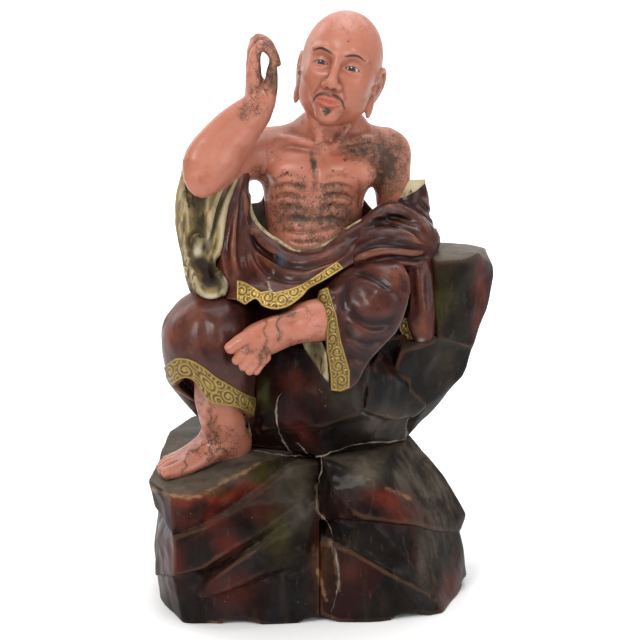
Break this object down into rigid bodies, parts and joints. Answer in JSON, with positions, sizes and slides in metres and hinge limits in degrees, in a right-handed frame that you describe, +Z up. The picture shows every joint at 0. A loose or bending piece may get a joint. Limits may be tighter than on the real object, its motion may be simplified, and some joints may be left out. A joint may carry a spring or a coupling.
{
  "type": "seated figure carving",
  "caption": "Lacquered wood carving of a bald ascetic in a loose gilt-edged robe, seated on a faceted rock with a hand raised and a foot drawn up across the knee.",
  "frame": {"origin": "centre of the overall box, on the standing plane under the rock", "axes": "+Z up, the figure faces -Y, +X to the figure's left"},
  "size_m": [0.2328, 0.1796, 0.4003],
  "materials": {
    "skin_lacquer": "terracotta pink lacquer over gesso on carved wood, soft gloss, rubbed and crazed",
    "robe_lacquer": "dark plum-brown lacquer over carved wood, glossy, worn to orange-brown on the ridges",
    "robe_lining": "cream gesso and paint, matt, soiled in the folds",
    "gilt_border": "raised gesso scrollwork under gilding, satin, dark in the recesses",
    "rock_lacquer": "black-brown lacquer over coarse chisel facets, satin, rubbed on the edges",
    "bamboo_pin": "bare bamboo"
  },
  "bodies": {
    "root": {"elbow_pin": "bamboo_pin", "head": "skin_lacquer", "left_foot": "skin_lacquer", "left_foot_pin": "bamboo_pin", "left_leg": "robe_lacquer", "left_shoulder_pin": "bamboo_pin", "left_sleeve": "robe_lacquer", "left_sleeve_pins": "bamboo_pin", "left_upper_arm": "skin_lacquer", "leg_pins": "bamboo_pin", "lower_rock_pins": "bamboo_pin", "neck_pin": "bamboo_pin", "outcrop_pins": "bamboo_pin", "right_foot": "skin_lacquer", "right_foot_pin": "bamboo_pin", "right_forearm": "skin_lacquer", "right_hand": "skin_lacquer", "right_leg": "robe_lacquer", "right_shin": "skin_lacquer", "right_shin_pin": "bamboo_pin", "right_shoulder_pin": "bamboo_pin", "right_sleeve": "robe_lacquer", "right_sleeve_pins": "bamboo_pin", "right_upper_arm": "skin_lacquer", "robe_lap": "robe_lacquer", "robe_trunk": "robe_lacquer", "rock_foot_block": "rock_lacquer", "rock_joint_pins": "bamboo_pin", "rock_outcrop": "rock_lacquer", "rock_right_block": "rock_lacquer", "rock_seat": "rock_lacquer", "seat_pins": "bamboo_pin", "torso": "skin_lacquer", "torso_pins": "bamboo_pin", "wrist_pin": "bamboo_pin"}
  },
  "joints": []
}
